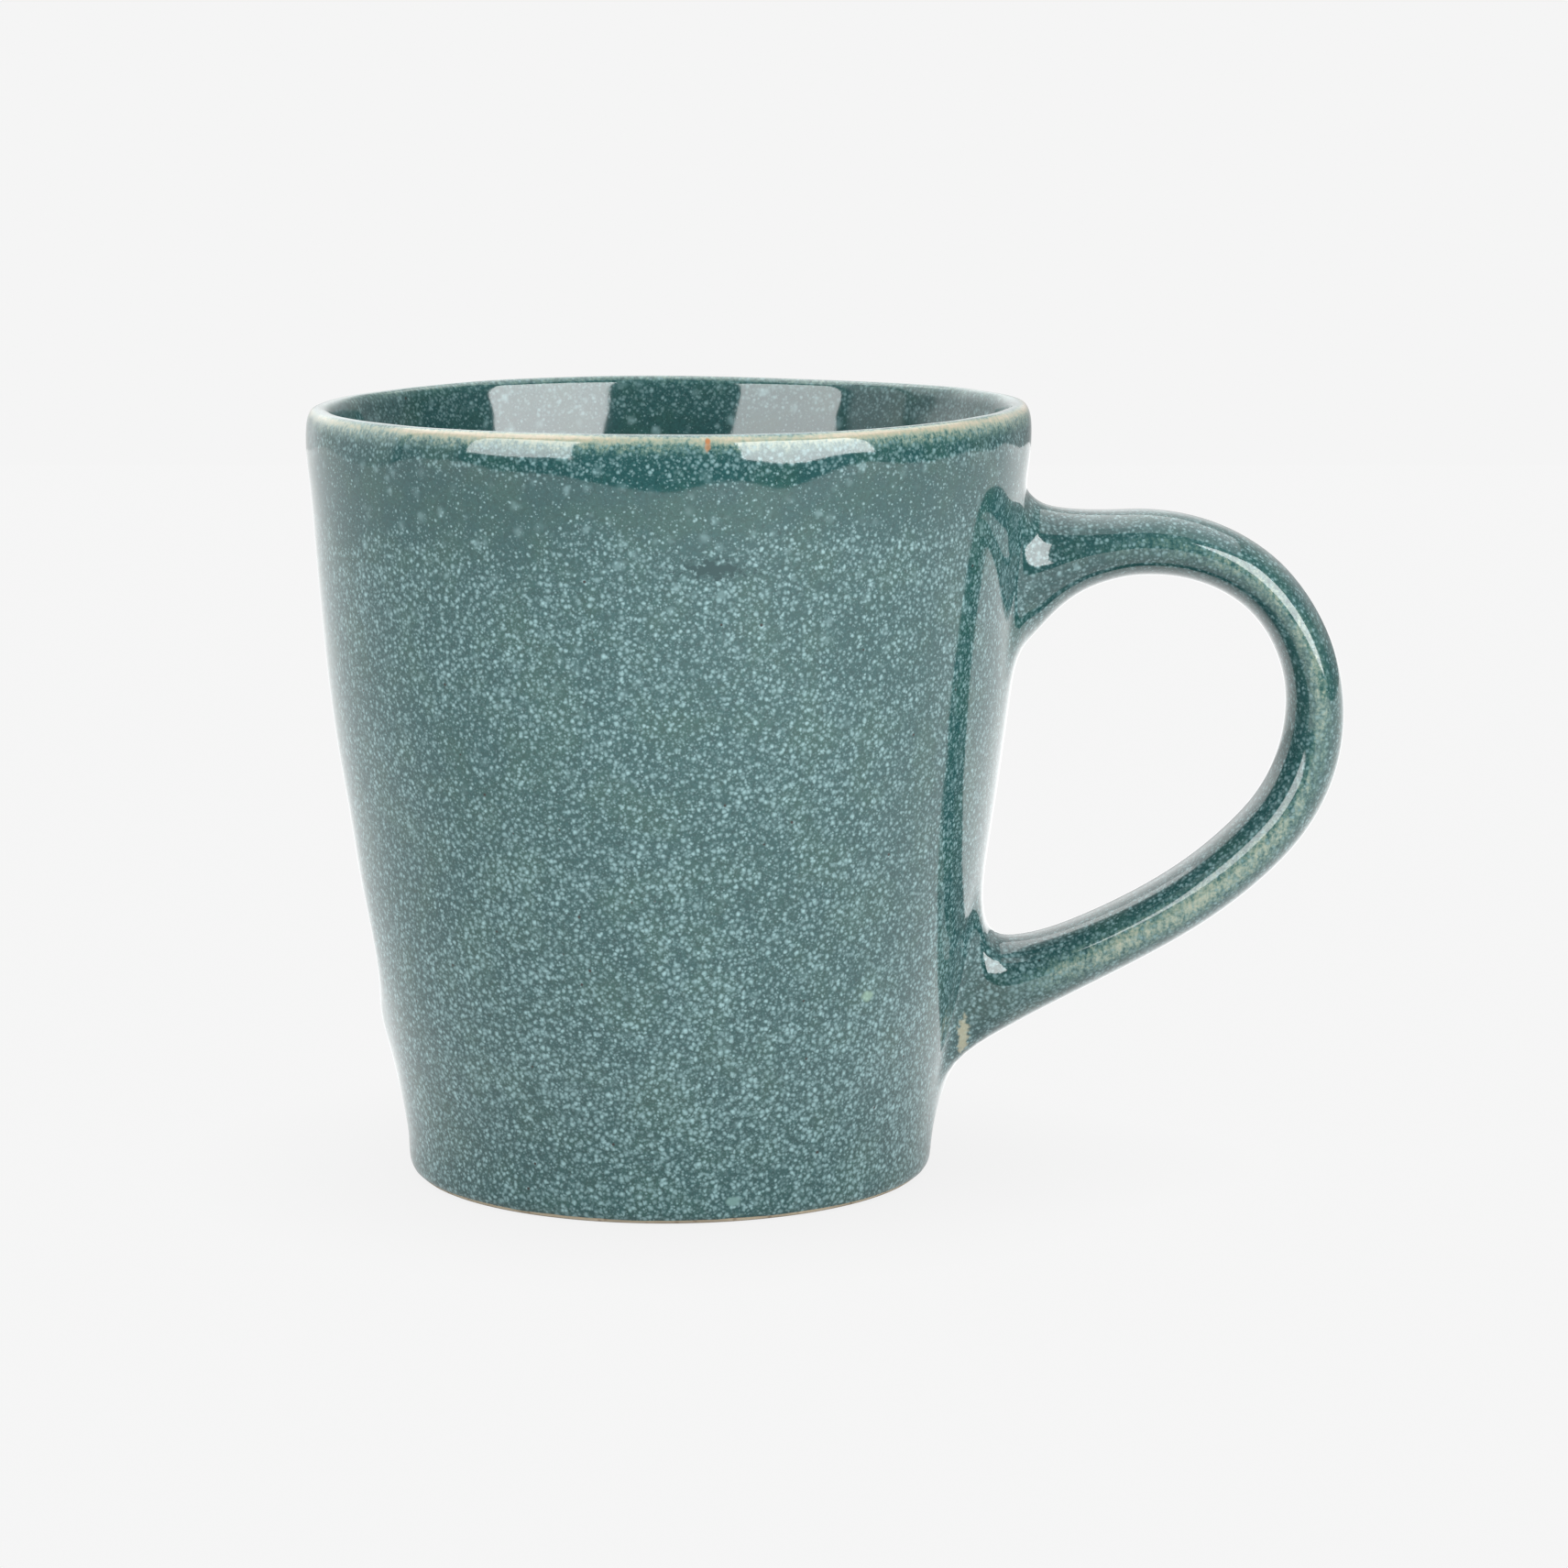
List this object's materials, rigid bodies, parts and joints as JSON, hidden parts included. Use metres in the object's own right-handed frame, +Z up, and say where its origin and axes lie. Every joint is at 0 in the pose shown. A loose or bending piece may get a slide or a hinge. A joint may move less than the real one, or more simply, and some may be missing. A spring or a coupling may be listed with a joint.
{
  "type": "mug",
  "caption": "Tapered round stoneware mug with a speckled teal glaze, a bare foot ring and a looped strap handle.",
  "frame": {"origin": "on the table plane, at the middle of the whole mug's footprint, handle included; the cup's own axis stands at x = -0.0192 m", "axes": "+Z up out of the mouth, +X from the cup towards the handle, +Y across the handle's plane"},
  "size_m": [0.1261, 0.0878, 0.094],
  "materials": {
    "clay": "bare fired stoneware, tan, matte",
    "slip": "fired luting slip, matte",
    "outer_glaze": "glossy reactive teal glaze with pale blue speckles, breaking to cream and olive on edges",
    "liner_glaze": "glossy darker teal glaze with fine pale speckles"
  },
  "bodies": {
    "root": {"cup_body": "clay", "handle": "clay", "upper_joint_slip": "slip", "lower_joint_slip": "slip", "outer_glaze": "outer_glaze", "handle_glaze": "outer_glaze", "liner_glaze": "liner_glaze", "underside_glaze": "liner_glaze"}
  },
  "joints": []
}
